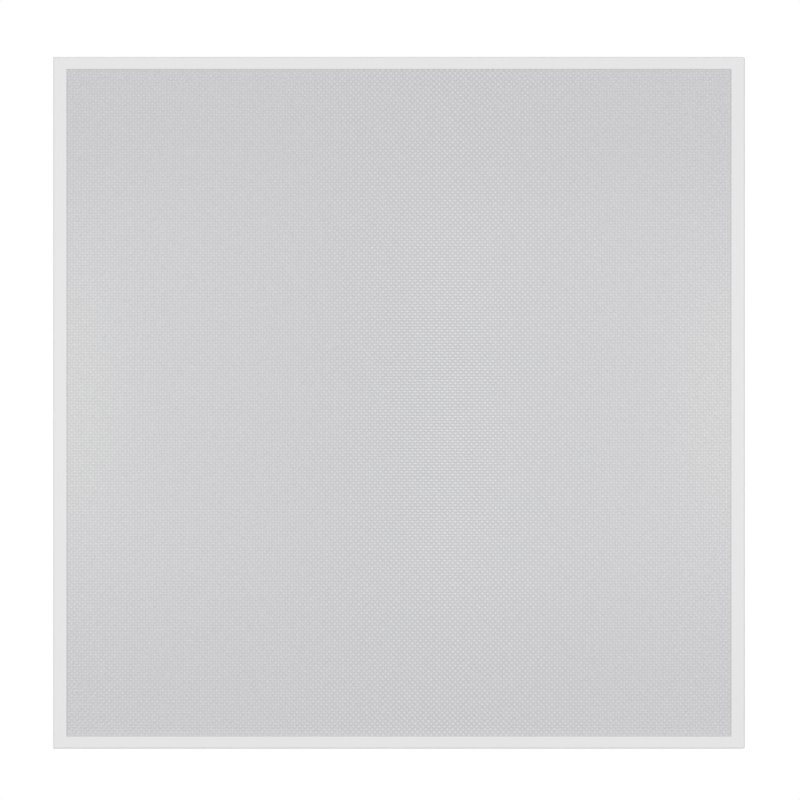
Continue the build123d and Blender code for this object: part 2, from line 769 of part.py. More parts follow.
with BuildPart() as driver_capacitors:
    for x, y, radius, height in capacitor_sizes:
        with BuildSketch(Plane.XY.offset(pcb_top)):
            with Locations((x, y)):
                Circle(radius)
        extrude(amount=height)
    fillet(driver_capacitors.faces().filter_by(Axis.Z).edges().filter_by(GeomType.CIRCLE).group_by(
        Axis.Z)[-1], capacitor_edge_radius)
save(driver_capacitors.part, "driver_capacitors")

# Choke: a wound ring that lies on the board
choke_ring = turned(
    (choke_hole_radius, pcb_top),
    (choke_radius, pcb_top),
    (choke_radius, pcb_top + choke_height - choke_chamfer),
    (choke_radius - choke_chamfer, pcb_top + choke_height),
    (choke_hole_radius, pcb_top + choke_height),
)
save(copies(choke_ring, [(choke_x, 0)]), "driver_choke")


def terminal_block(side):
    """A terminal with two wire holes in its outer face and two button shafts in its top."""
    with BuildPart() as block:
        with BuildSketch(Plane.XY.offset(pcb_top)):
            with Locations((side * terminal_middle, 0)):
                Rectangle(terminal_length, terminal_width)
        extrude(amount=terminal_height)
        fillet(block.edges().group_by(Axis.Z)[-1], terminal_edge_radius)
        with BuildSketch(Plane.YZ.offset(side * terminal_face)):
            for pole in (-terminal_pole_offset, terminal_pole_offset):
                with Locations((pole, wire_hole_z)):
                    Circle(wire_hole_radius)
        extrude(amount=-side * wire_hole_depth, mode=Mode.SUBTRACT)
        with BuildSketch(Plane.XY.offset(terminal_top)):
            for pole in (-terminal_pole_offset, terminal_pole_offset):
                with Locations((side * button_x, pole)):
                    Rectangle(button_length + 2 * button_clearance, button_width + 2 * button_clearance)
        shaft_depth = button_height - button_rise + button_travel + button_floor_gap
        extrude(amount=-shaft_depth, mode=Mode.SUBTRACT)
    return block.part


def terminal_button(side, pole):
    """The push button of one pole, at rest."""
    with BuildPart() as button:
        with BuildSketch(Plane.XY.offset(terminal_top + button_rise)):
            with Locations((side * button_x, pole * terminal_pole_offset)):
                Rectangle(button_length, button_width)
        extrude(amount=-button_height)
        fillet(button.faces().sort_by(Axis.Z)[-1].edges(), button_edge_radius)
    return button.part


save(terminal_block(-1), "mains_terminal")
save(terminal_button(-1, 1), "mains_button_live")
save(terminal_button(-1, -1), "mains_button_neutral")
save(terminal_block(1), "output_terminal")
save(terminal_button(1, 1), "output_button_plus")
save(terminal_button(1, -1), "output_button_minus")
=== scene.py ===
import json
from math import pi, radians, tau

import bmesh
import bpy
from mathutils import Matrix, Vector


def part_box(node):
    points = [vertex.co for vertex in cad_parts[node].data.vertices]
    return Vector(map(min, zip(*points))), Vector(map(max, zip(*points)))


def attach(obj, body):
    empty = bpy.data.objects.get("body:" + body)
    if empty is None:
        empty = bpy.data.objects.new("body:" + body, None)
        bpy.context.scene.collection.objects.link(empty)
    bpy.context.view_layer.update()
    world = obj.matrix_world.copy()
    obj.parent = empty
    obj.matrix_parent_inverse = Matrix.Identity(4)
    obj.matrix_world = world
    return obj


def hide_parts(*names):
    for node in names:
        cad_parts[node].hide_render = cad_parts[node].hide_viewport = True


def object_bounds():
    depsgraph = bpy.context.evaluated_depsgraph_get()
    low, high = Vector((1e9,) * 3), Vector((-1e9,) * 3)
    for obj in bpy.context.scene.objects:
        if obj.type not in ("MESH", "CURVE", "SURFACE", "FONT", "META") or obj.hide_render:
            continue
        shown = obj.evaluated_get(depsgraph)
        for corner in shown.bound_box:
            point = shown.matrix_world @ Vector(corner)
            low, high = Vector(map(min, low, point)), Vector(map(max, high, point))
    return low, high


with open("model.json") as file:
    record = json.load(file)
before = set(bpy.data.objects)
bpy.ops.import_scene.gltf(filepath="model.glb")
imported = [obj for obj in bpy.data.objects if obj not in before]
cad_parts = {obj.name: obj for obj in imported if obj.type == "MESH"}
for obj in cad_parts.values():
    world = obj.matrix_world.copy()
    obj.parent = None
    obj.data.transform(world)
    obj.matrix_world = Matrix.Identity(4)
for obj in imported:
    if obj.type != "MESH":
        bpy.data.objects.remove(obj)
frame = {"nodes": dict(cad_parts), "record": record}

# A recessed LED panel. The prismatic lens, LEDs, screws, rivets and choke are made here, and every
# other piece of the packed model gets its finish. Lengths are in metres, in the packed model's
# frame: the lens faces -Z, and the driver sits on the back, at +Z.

bl_info = {
    "name": "Recessed LED Panel",
    "version": (1, 0, 0),
    "blender": (4, 5, 0),
    "location": "View3D > Sidebar > LED Panel",
    "description": "Makes the lens, LEDs, fasteners and finishes of a recessed LED panel",
    "category": "Object",
}

CAD_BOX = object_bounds()
NODES = frame["nodes"]
SLOT_COLOURS = {row["slot"]: row["base_color"] for row in frame["record"]["materials"]}
BODY = "panel_body"
LED_BOARDS = [f"led_board_{number}" for number in range(1, 7)]
LED_ROWS = [f"led_row_{number}" for number in range(1, 7)]
GRID_CLIPS = [f"grid_clip_{number}" for number in range(1, 5)]
BUTTONS = ["mains_button_live", "mains_button_neutral", "output_button_plus", "output_button_minus"]

MM = 0.001
SAME_POINT = 0.001 * MM
WELD_GAP = 0.002 * MM
FASTENER_CREASE = radians(32)
CHOKE_CREASE = radians(40)


# Node trees


class Value:
    """One output of a node. Arithmetic on it adds Math nodes to the same tree."""

    def __init__(self, graph, socket):
        self.graph = graph
        self.socket = socket

    def output(self, name):
        """Another output of the same node."""
        return Value(self.graph, self.socket.node.outputs[name])

    def math(self, operation, *others):
        return self.graph.math(operation, self, *others)

    def __add__(self, other):
        return self.math("ADD", other)

    def __radd__(self, other):
        return self.graph.math("ADD", other, self)

    def __sub__(self, other):
        return self.math("SUBTRACT", other)

    def __rsub__(self, other):
        return self.graph.math("SUBTRACT", other, self)

    def __mul__(self, other):
        return self.math("MULTIPLY", other)

    def __rmul__(self, other):
        return self.graph.math("MULTIPLY", other, self)

    def __truediv__(self, other):
        return self.math("DIVIDE", other)

    def __mod__(self, other):
        return self.math("FLOORED_MODULO", other)

    def __pow__(self, other):
        return self.math("POWER", other)

    def __lt__(self, other):
        return self.math("LESS_THAN", other)

    def __abs__(self):
        return self.math("ABSOLUTE")


class Graph:
    """A node tree, and the methods that add nodes to it."""

    family = "ShaderNode"

    def __init__(self, tree):
        self.tree = tree

    def node(self, kind, inputs=None, **settings):
        """Adds a node of the tree's family."""
        return self.add(self.family + kind, inputs, **settings)

    def add(self, kind, inputs=None, **settings):
        """Adds a node, sets it up, feeds its sockets and returns its first output in use."""
        made = self.tree.nodes.new(kind)
        for name, setting in settings.items():
            setattr(made, name, setting)
        self.feed(made, inputs or {})
        return next((Value(self, socket) for socket in made.outputs if socket.enabled), None)

    def feed(self, node, inputs):
        """Links or sets a node's sockets in use, which go by name or by place."""
        sockets = [socket for socket in node.inputs if socket.enabled]
        for key, value in inputs.items():
            by_place = isinstance(key, int)
            socket = sockets[key] if by_place else next(s for s in sockets if s.name == key)
            for item in value if isinstance(value, list) else [value]:
                if isinstance(item, Value):
                    self.tree.links.new(item.socket, socket)
                else:
                    socket.default_value = item

    def math(self, operation, *operands):
        return self.add("ShaderNodeMath", dict(enumerate(operands)), operation=operation)

    def vector(self, x, y, z):
        return self.add("ShaderNodeCombineXYZ", {"X": x, "Y": y, "Z": z})

    def axes(self, vector):
        """The three numbers of a vector."""
        first = self.add("ShaderNodeSeparateXYZ", {0: vector})
        return first, first.output("Y"), first.output("Z")


class GeometryTree(Graph):
    """A geometry tree with sizes that go by name, for pieces at one place or many."""

    family = "GeometryNode"

    def __init__(self, name, sizes):
        super().__init__(bpy.data.node_groups.new(name, "GeometryNodeTree"))
        sockets = self.tree.interface
        sockets.new_socket("Places", in_out="INPUT", socket_type="NodeSocketGeometry")
        for size, default in sizes.items():
            socket = sockets.new_socket(size, in_out="INPUT", socket_type="NodeSocketFloat")
            socket.default_value = default
        sockets.new_socket("Geometry", in_out="OUTPUT", socket_type="NodeSocketGeometry")
        self.places = self.add("NodeGroupInput")
        self.sizes = {size: self.places.output(size) for size in sizes}

    def move(self, geometry, translation, rotation=(0, 0, 0)):
        inputs = {"Geometry": geometry, "Translation": translation, "Rotation": rotation}
        return self.node("Transform", inputs)

    def put(self, geometry, place, where=True):
        """Gives each chosen point a place of its own."""
        inputs = {"Geometry": geometry, "Selection": where, "Position": place}
        return self.node("SetPosition", inputs)

    def join(self, *parts):
        return self.node("JoinGeometry", {0: list(parts)})

    def block(self, length, width, height):
        return self.node("MeshCube", {"Size": self.vector(length, width, height)})

    def grid(self, length, width, columns, rows):
        inputs = {"Size X": length, "Size Y": width, "Vertices X": columns, "Vertices Y": rows}
        return self.node("MeshGrid", inputs)

    def extrude(self, mesh, where, rise, mode):
        """Pulls edges or faces out along +Z."""
        inputs = {"Mesh": mesh, "Selection": where, "Offset": (0, 0, 1), "Offset Scale": rise}
        return self.node("ExtrudeMesh", inputs, mode=mode)

    def cut(self, solid, *cutters):
        inputs = {"Mesh 1": solid, "Mesh 2": list(cutters)}
        return self.node("MeshBoolean", inputs, operation="DIFFERENCE", solver="EXACT")

    def weld(self, geometry):
        return self.node("MergeByDistance", {"Geometry": geometry, "Distance": WELD_GAP})

    def tube(self, curve, radius, sides):
        ring = self.node("CurvePrimitiveCircle", {"Resolution": sides, "Radius": radius})
        inputs = {"Curve": curve, "Profile Curve": ring, "Fill Caps": True}
        return self.node("CurveToMesh", inputs)

    def turned(self, outline, sides):
        """A solid turned about Z from an outline of (radius, height) pairs, outer side upwards."""
        rows = len(outline)
        index = self.node("InputIndex")
        angle = (index / rows).math("FLOOR") * (tau / sides)
        point = self.node("IndexSwitch", {"Index": index % rows}, data_type="VECTOR")
        switch = point.socket.node
        while len(switch.index_switch_items) < rows:
            switch.index_switch_items.new()
        corners = [self.vector(radius, 0.0, height) for radius, height in outline]
        self.feed(switch, {str(row): corner for row, corner in enumerate(corners)})
        radius, _, height = self.axes(point)
        place = self.vector(radius * angle.math("COSINE"), radius * angle.math("SINE"), height)
        return self.weld(self.put(self.grid(1.0, 1.0, sides + 1, rows), place))

    def repeat(self, solid, turn_seed=None):
        """Real copies of the solid, one at each place, turned at random where a seed is given."""
        inputs = {"Points": self.places, "Instance": solid}
        if turn_seed is not None:
            limits = {"Min": 0.0, "Max": tau, "Seed": turn_seed}
            turn = self.add("FunctionNodeRandomValue", limits, data_type="FLOAT")
            euler = self.vector(0.0, 0.0, turn)
            inputs["Rotation"] = self.add("FunctionNodeEulerToRotation", {0: euler})
        copies = self.node("InstanceOnPoints", inputs)
        return self.node("RealizeInstances", {"Geometry": copies})

    def paint(self, geometry, material, where=True):
        inputs = {"Geometry": geometry, "Selection": where, "Material": material}
        return self.node("SetMaterial", inputs)


class Finish(Graph):
    """A material patterned on the piece's own coordinates. Grains, depths and radii are in mm."""

    def __init__(self, name):
        self.material = bpy.data.materials.new(name)
        self.material.use_nodes = True
        super().__init__(self.material.node_tree)
        self.tree.nodes.clear()
        coordinates = self.node("TexCoord")
        self.place = coordinates.output("Object")
        self.x, self.y, _ = self.axes(self.place)
        self.facing_x, _, self.facing_z = self.axes(coordinates.output("Normal"))

    def noise(self, size, detail=2.0, stretch=None):
        """A cloud pattern from 0 to 1 with patches of about that size."""
        place = self.place
        if stretch:
            place = self.node("Mapping", {"Vector": place, "Scale": stretch})
        inputs = {"Vector": place, "Scale": 1 / (size * MM), "Detail": detail}
        return self.node("TexNoise", inputs)

    def ramp(self, value, start, end):
        """0 up to the start, 1 from the end on and smooth between them. The end may be lower."""
        inputs = {"Value": value, "From Min": start, "From Max": end}
        return self.node("MapRange", inputs, interpolation_type="SMOOTHSTEP")

    def bands(self, value, stops):
        """A grey that goes through the stops, which are (value, grey) pairs from 0 to 1."""
        shade = self.node("ValToRGB", {0: value})
        elements = shade.socket.node.color_ramp.elements
        while len(elements) < len(stops):
            elements.new(1.0)
        for element, (position, grey) in zip(elements, stops):
            element.position = position
            element.color = (grey, grey, grey, 1.0)
        return shade

    def mix(self, factor, first, second):
        """A blend of two colours."""
        inputs = {"Factor": factor, "A": rgba(first), "B": rgba(second)}
        return self.node("Mix", inputs, data_type="RGBA")

    def tones(self, factor, colour, first, second):
        """A blend of two tones of one colour."""
        return self.mix(factor, tone(colour, first), tone(colour, second))

    def rounded(self, radius):
        """The normal as if sharp edges had a small radius, and a mask of those edges."""
        normal = self.node("Bevel", {"Radius": radius * MM}, samples=4)
        flat = self.node("NewGeometry").output("True Normal")
        match = self.node("VectorMath", {0: normal, 1: flat}, operation="DOT_PRODUCT")
        return normal, self.ramp(1 - match, 0.03, 0.25)

    def bump(self, height, depth, normal=None):
        inputs = {"Height": height, "Distance": depth * MM}
        if normal is not None:
            inputs["Normal"] = normal
        return self.node("Bump", inputs)

    def shade(self, colour, roughness, normal, **sockets):
        """Ends the material in one Principled shader."""
        inputs = {"Base Color": colour, "Roughness": roughness, "Normal": normal}
        inputs.update({name.replace("_", " "): value for name, value in sockets.items()})
        self.end(self.node("BsdfPrincipled", inputs))
        return self.material

    def end(self, surface):
        self.node("OutputMaterial", {"Surface": surface})


def rgba(colour):
    return colour if isinstance(colour, Value) else (*colour[:3], 1.0)


def tone(colour, share):
    """A colour made darker or lighter."""
    return tuple(min(1.0, channel * share) for channel in colour[:3])


def tinted(colour, tint):
    """A colour with each channel made weaker or stronger."""
    return tuple(channel * share for channel, share in zip(colour, tint))


# Finishes

# Colours that the packed model has no slot for
WHITE = (1.0, 1.0, 1.0, 1.0)
FLOOR_GREY = (0.95, 0.95, 0.95, 1.0)
DUST = (0.56, 0.54, 0.51)
LED_WHITE = (0.86, 0.86, 0.84)
TINNED_PAD = (0.62, 0.62, 0.6)
TAPE, TAPE_LAP = (0.62, 0.44, 0.06), (0.4, 0.26, 0.03)
SLEEVE_STRIPE, BARE_TOP = (0.5, 0.51, 0.55), (0.66, 0.67, 0.68)

# Shares of red, green and blue
FAINT_VIOLET = (1.0, 0.996, 1.0)
STRAW, STEEL_BLUE = (1.06, 1.0, 0.86), (0.93, 0.99, 1.07)

# Painted light on the lens: how pale it is painted from its left end, 0, to its right end, 1, with
# painted highlights near both ends and right of the middle
LENS_PAINTED_LIGHT = (
    (0.0, 0.8), (0.12, 0.7), (0.42, 0.3), (0.5, 0.42), (0.56, 0.74), (0.7, 0.63), (1.0, 0.8),
)
LOW_SPECULAR = 0.3

# Grain, depth of its pits, roughness and radius of the edges
MOULDINGS = {
    "led_package": (0.2, 0.004, 0.4, 0.05),
    "white_nylon": (0.8, 0.02, 0.42, 0.35),
    "black_rubber": (0.5, 0.03, 0.72, 0.35),
    "driver_case": (0.45, 0.03, 0.5, 0.35),
    "terminal_grey": (0.4, 0.02, 0.46, 0.35),
    "terminal_button": (0.3, 0.01, 0.36, 0.2),
}


def powder_coat(colour, half_size):
    """White powder coat: orange peel, faint clouds, painted shade along the outer folds, dust on
    top.
    """
    coat = Finish("powder_coat")
    cloud = coat.noise(60, 3.0)
    fold, end_shift = 2.4 * MM, 1.6 * MM
    # Painted shade along the outer folds, which starts a little further out at the two ends
    outward = abs(coat.x).math("MAXIMUM", abs(coat.y) - end_shift)
    rim = coat.ramp(outward, half_size - fold, half_size)
    dust = coat.ramp(coat.facing_z, 0.7, 1.0) * coat.ramp(coat.noise(9, 6.0), 0.4, 0.9)
    shade = coat.tones(cloud, colour, 0.985, 1.015)
    shade = coat.mix(rim * 0.6, shade, tone(colour, 0.9))
    shade = coat.mix(dust * 0.25, shade, DUST)
    roughness = 0.48 + 0.1 * cloud + 0.2 * dust
    peel = coat.bump(coat.noise(1.1, 1.0), 0.03)
    return coat.shade(shade, roughness, peel, Specular_IOR_Level=LOW_SPECULAR)


def prismatic_plastic(colour, length, width, columns, rows):
    """Moulded lens plastic with painted light: highlight bands, two paler sides less blue, painted
    shade on the pyramids' sides and the border, painted highlights on the tips.
    """
    lens = Finish("prismatic_plastic")
    x, y = lens.x / length, lens.y / width
    across, along = abs(x), abs(y)
    cloud = lens.noise(120)
    violet, grey = tinted(colour, FAINT_VIOLET), (colour[0],) * 3
    # Painted highlights in bands across the lens, strongest halfway up and fading towards the top
    # and bottom ends
    bands = lens.bands(x + 0.5, LENS_PAINTED_LIGHT) * lens.ramp(along, 0.43, 0.18)
    # A painted highlight band a little right of the middle, strongest halfway up
    painted_highlight_band = lens.ramp(abs(x - 0.06), 0.2, 0.0) * lens.ramp(along, 0.5, 0.0)
    shade = lens.tones(0.5 * bands + 0.3 * painted_highlight_band, violet, 1.03, 1.21)
    shade = lens.mix(cloud * 0.3, shade, tone(violet, 1.07))
    # Towards the left and right ends halfway up, a faint tint that is less blue and a painted
    # highlight
    sides = lens.ramp(across, 0.34, 0.5) * lens.ramp(along, 0.28, 0.04)
    shade = lens.mix(sides, shade, tone(grey, 1.15))

    # The product of the waves is highest on the pyramids' tips, and the beats are lowest across
    # their sides: painted shade on the pyramids' sides, in stronger rows within the painted
    # highlight band
    wave_x = ((x + 0.5) * (tau * columns)).math("COSINE")
    wave_y = ((y + 0.5) * (tau * rows)).math("COSINE")
    beat_x, beat_y = (2 * wave * wave - 1 for wave in (wave_x, wave_y))
    painted_facet_shade = 0.26 + 0.1 * painted_highlight_band - 0.11 * beat_x - (0.11 + 0.23 * painted_highlight_band) * beat_y
    # Painted shade on the lens over its last few millimetres along the frame
    border = lens.ramp(across.math("MAXIMUM", along), 0.477, 0.484)
    shade = lens.mix(painted_facet_shade + 0.15 * border, shade, tone(violet, 0.77))
    # Painted highlights on the tips of the pyramids, strongest a little right of the middle
    tips = (0.3 + 0.7 * lens.ramp(abs(x - 0.08), 0.3, 0.0)) * wave_x * wave_y
    shade = lens.node("VectorMath", {0: shade, "Scale": 1 + 0.1 * tips}, operation="SCALE")
    grain = lens.bump(lens.noise(2), 0.01)
    return lens.shade(shade, 0.48 + 0.08 * cloud, grain, Specular_IOR_Level=LOW_SPECULAR)


def board_mask(colour, row_pitch, row_start, led_pitch):
    """White solder mask over copper: wide tracks show, slightly raised and darker."""
    mask = Finish("led_board_mask")
    half_pitch = row_pitch / 2
    across = abs(abs((mask.y - row_start) % row_pitch - half_pitch) - half_pitch)
    along = abs((mask.x / led_pitch) % 1.0 - 0.5)
    copper = mask.ramp(across, 6.6 * MM, 6.2 * MM) * mask.ramp(along, 0.03, 0.045)
    track = copper * mask.ramp(across, 0.5 * MM, 0.7 * MM)
    cloud = mask.noise(12, 3.0)
    shade = mask.tones(cloud, colour, 0.97, 1.0)
    shade = mask.mix(track * 0.5, shade, tone(colour, 0.9))
    return mask.shade(shade, 0.34 + 0.1 * cloud, mask.bump(track, 0.05))


def moulded_plastic(name, colour):
    """Spark-textured moulding: fine pits, faint flow marks, and edges rubbed smooth and paler."""
    grain, depth, roughness, edge = MOULDINGS[name]
    plastic = Finish(name)
    pits = plastic.noise(grain, 3.0)
    flow = plastic.noise(20, 3.0, (1.0, 0.4, 1.0))
    normal, worn = plastic.rounded(edge)
    shade = plastic.tones(flow, colour, 0.95, 1.04)
    shade = plastic.mix(plastic.ramp(pits, 0.5, 0.75) * 0.35, shade, tone(colour, 0.86))
    shade = plastic.mix(worn * 0.4, shade, tone(colour, 1.12))
    roughness = roughness + 0.12 * (pits - 0.5) - 0.1 * worn
    return plastic.shade(shade, roughness, plastic.bump(pits, depth, normal))


def wire_insulation(name, colour):
    """Extruded wire insulation with faint drawing marks and a soft gloss."""
    wire = Finish(name)
    marks = wire.noise(0.5)
    shade = wire.tones(wire.noise(7), colour, 0.82, 1.18)
    return wire.shade(shade, 0.34 + 0.14 * marks, wire.bump(marks, 0.015))


def zinc_plating(colour):
    """Bright zinc on steel: rolling marks, a clouded blue and straw passivation, bright edges."""
    steel = Finish("zinc_plating")
    rolled = steel.noise(0.5, 3.0, (1.0, 0.06, 1.0))
    cloud = steel.noise(7, 4.0)
    normal, worn = steel.rounded(0.2)
    clouded = steel.ramp(cloud, 0.35, 0.65)
    shade = steel.mix(clouded, tinted(colour, STEEL_BLUE), tinted(colour, STRAW))
    shade = steel.mix(worn * 0.5, shade, tone(colour, 1.25))
    roughness = 0.3 + 0.16 * rolled + 0.1 * cloud - 0.08 * worn
    return steel.shade(shade, roughness, steel.bump(rolled, 0.01, normal), Metallic=1.0)


def solder_mask(colour):
    """Green solder mask with tracks under it and tinned pads."""
    board = Finish("driver_board_mask")
    inputs = {"Vector": board.place, "Scale": 260.0, "Randomness": 0.6}
    cells = board.node("TexVoronoi", inputs, feature="F1", distance="CHEBYCHEV")
    track = board.ramp(cells, 0.52, 0.5)
    pad = board.ramp(cells, 0.13, 0.11)
    cloud = board.noise(6, 3.0)
    shade = board.tones(cloud, colour, 0.85, 1.1)
    shade = board.mix(track * 0.5, shade, tone(colour, 1.7))
    shade = board.mix(pad, shade, TINNED_PAD)
    normal = board.bump(track + pad, 0.04)
    return board.shade(shade, 0.3 + 0.12 * cloud, normal, Metallic=pad)


def core_and_tape(colour, middle, half_winding):
    """Ferrite yokes with a taped winding between them."""
    core = Finish("ferrite_and_tape")
    tape_width, blur = 2.4 * MM, 0.05 * MM
    speckle = core.noise(0.35, 4.0)
    taped = core.ramp(abs(core.x - middle), half_winding + blur, half_winding - blur)
    lap = core.ramp(abs((core.x / tape_width) % 1.0 - 0.5), 0.44, 0.48)
    tape = core.mix(lap * 0.6, TAPE, TAPE_LAP)
    ferrite = core.tones(speckle, colour, 0.7, 1.7)
    roughness = 0.62 - 0.3 * taped + 0.1 * speckle
    normal = core.bump(speckle * (1 - taped) + lap * taped, 0.05)
    return core.shade(core.mix(taped, ferrite, tape), roughness, normal)


def capacitor_sleeve(colour):
    """Shrink sleeve with a pale stripe down one side, and a bare aluminium top."""
    sleeve = Finish("capacitor_sleeve")
    top = sleeve.ramp(sleeve.facing_z, 0.9, 0.97)
    stripe = sleeve.ramp(sleeve.facing_x, 0.9, 0.93) * (1 - top)
    cloud = sleeve.noise(3, 3.0)
    shade = sleeve.tones(cloud, colour, 0.8, 1.4)
    shade = sleeve.mix(stripe, shade, SLEEVE_STRIPE)
    shade = sleeve.mix(top, shade, BARE_TOP)
    roughness = 0.24 + 0.1 * cloud + 0.08 * top
    return sleeve.shade(shade, roughness, sleeve.bump(cloud, 0.05), Metallic=top)


def enamelled_copper(colour):
    """Enamelled wire, darker where the enamel is thick."""
    copper = Finish("enamelled_copper")
    cloud = copper.noise(1.6, 3.0)
    shade = copper.tones(cloud, colour, 0.7, 1.25)
    normal = copper.bump(cloud, 0.02)
    return copper.shade(shade, 0.22 + 0.12 * cloud, normal, Metallic=0.85, Coat_Weight=0.6)


def phosphor(colour):
    """The yellow resin in an LED's cup."""
    resin = Finish("led_phosphor")
    grains = resin.noise(0.12)
    shade = resin.tones(grains, colour, 0.85, 1.1)
    return resin.shade(shade, 0.35 + 0.2 * grains, resin.bump(grains, 0.02))


# Making pieces


def solids(node):
    """The lowest and highest corner of each separate solid of a CAD node."""
    mesh = bmesh.new()
    mesh.from_mesh(NODES[node].data)
    bmesh.ops.remove_doubles(mesh, verts=mesh.verts, dist=SAME_POINT)
    waiting = set(mesh.verts)
    boxes = []
    for start in mesh.verts:
        if start not in waiting:
            continue
        waiting.remove(start)
        found = [start]
        for vert in found:
            near = {edge.other_vert(vert) for edge in vert.link_edges} & waiting
            waiting -= near
            found.extend(near)
        axes = list(zip(*(vert.co for vert in found)))
        boxes.append((Vector(map(min, axes)), Vector(map(max, axes))))
    mesh.free()
    return boxes


def middles(boxes, height):
    """A place at that height in the middle of each box."""
    return [((low.x + high.x) / 2, (low.y + high.y) / 2, height) for low, high in boxes]


def add_object(name, data):
    made = bpy.data.objects.new(name, data)
    bpy.context.scene.collection.objects.link(made)
    return made


def grow(name, shape, materials, places=((0.0, 0.0, 0.0),), crease=None, **sizes):
    """Runs a shape's geometry tree once and keeps the plain mesh it gives, with outward faces."""
    tree = GeometryTree(name, sizes)
    tree.add("NodeGroupOutput", {0: shape(tree, *materials, **tree.sizes)})
    seed = bpy.data.meshes.new(f"{name}_places")
    seed.from_pydata(places, [], [])
    piece = add_object(name, seed)
    modifier = piece.modifiers.new(name, "NODES")
    modifier.node_group = tree.tree
    evaluated = piece.evaluated_get(bpy.context.evaluated_depsgraph_get())
    grown = bpy.data.meshes.new_from_object(evaluated)
    piece.modifiers.remove(modifier)
    piece.data = grown
    bpy.data.meshes.remove(seed)
    if not grown.polygons:
        raise RuntimeError(f"{name} came out empty")
    grown.name = name
    work = bmesh.new()
    work.from_mesh(grown)
    bmesh.ops.recalc_face_normals(work, faces=work.faces)
    work.to_mesh(grown)
    work.free()
    if crease is None:
        grown.shade_flat()
    else:
        grown.shade_smooth()
        grown.set_sharp_from_angle(angle=crease)
    return piece


def stand_in(piece, slot, *nodes):
    """The piece rides on the panel's body in place of CAD nodes."""
    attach(piece, BODY)
    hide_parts(*nodes)


def dress(material, *nodes):
    """Gives CAD nodes a finish."""
    for node in nodes:
        slots = NODES[node].data.materials
        slots.clear()
        slots.append(material)


def zinc(context):
    """The zinc finish, made at its first use."""
    made = bpy.data.materials.get("zinc_plating")
    return made or zinc_plating(context.scene.panel_colours.zinc_steel)


def nylon(context):
    """The nylon finish, made at its first use."""
    made = bpy.data.materials.get("white_nylon")
    return made or moulded_plastic("white_nylon", context.scene.panel_colours.white_nylon)


# Shapes, which grow from a geometry tree, its materials and its sizes

CUP_FLOOR = 0.86  # share of the LED cup's opening
SOLDER_WIDTH, SOLDER_HEIGHT = 0.8, 0.45  # shares of the LED
SOCKET_WIDTH, SOCKET_DEPTH = 1.7, 1.6  # of a cross recess, as shares of its arms
THREAD_START = 0.7  # cores above a screw's end
THREAD_STEPS, WIRE_STEPS = 18, 16  # points on each turn
SLIT_LENGTH, SLIT_DEPTH, SLIT_LIFT = 2.4, 1.2, 0.75  # shares of a push rivet's tail
WOUND_SHARE = 0.92  # of the way round the choke's ring
SQUARENESS = 0.45  # a turn of wire would be round at 1 and square at 0

# Outlines of heads and ends, as shares of their radius and height
SCREW_POINT = ((0.0, 0.0), (0.55, 0.0), (1.0, 0.6))
SCREW_DOME = ((1.0, 0.42), (0.95, 0.66), (0.82, 0.86), (0.6, 1.0), (0.0, 1.0))
RIVET_DOME = ((0.0, 1.0), (0.4, 1.0), (0.72, 0.88), (0.93, 0.58), (1.0, 0.22))
SPRUNG_TAIL = ((1.0, 0.0), (1.0, 0.12))
TAIL_TIP = ((1.0, 0.9), (0.85, 1.0), (0.0, 1.0))
PRESSED_TAIL = ((0.0, 1.0), (0.9, 1.0), (1.0, 0.7), (1.0, 0.0))
SPUN_HEAD = (
    (1.0, 0.35), (0.93, 0.62), (0.78, 0.85), (0.56, 1.0), (0.4, 1.0), (0.3, 0.72), (0.0, 0.6),
)


def profile(shares, radius, height, seat):
    """Points of an outline above its seat."""
    return [(radius * out, seat + height * up) for out, up in shares]


def pyramid_sheet(
    tree, plastic, length, width, columns, rows, prism_height, rim, taper, thickness, front
):
    """A sheet of small pyramids, corner to corner, with a plain rim and a flat back."""
    sheet = tree.grid(length, width, 2 * columns + 1, 2 * rows + 1)
    x, y, _ = tree.axes(tree.node("InputPosition"))
    odd_column = ((x / length + 0.5) * (2 * columns)).math("ROUND") % 2
    odd_row = ((y / width + 0.5) * (2 * rows)).math("ROUND") % 2
    first_peaks = (1 - odd_column) * (1 - odd_row)
    other_peaks = odd_column * odd_row
    # Up and down by turns for a moment, so that every cell is split from valley to valley
    tilt = tree.vector(0.0, 0.0, (first_peaks - other_peaks) * prism_height)
    tented = tree.node("SetPosition", {"Geometry": sheet, "Offset": tilt})
    split = tree.node("Triangulate", {0: tented}, quad_method="SHORTEST_DIAGONAL")
    inset = (length / 2 - abs(x)).math("MINIMUM", width / 2 - abs(y))
    inputs = {"Value": inset, "From Min": rim, "From Max": rim + taper}
    grown = tree.add("ShaderNodeMapRange", inputs)
    depth = front + prism_height * (1 - first_peaks - other_peaks) * grown
    prisms = tree.put(split, tree.vector(x, y, depth))
    faces_beside = tree.node("InputMeshEdgeNeighbors")
    walls = tree.extrude(prisms, faces_beside < 1.5, thickness, mode="EDGES")
    back_edge = walls.output("Top")
    back_place = tree.vector(x, y, front + thickness)
    level = tree.put(walls, back_place, back_edge)
    loop = tree.node("MeshToCurve", {"Mesh": level, "Selection": back_edge})
    cap = tree.node("FillCurve", {"Curve": loop}, mode="NGONS")
    return tree.paint(tree.weld(tree.join(level, tree.put(cap, back_place))), plastic)


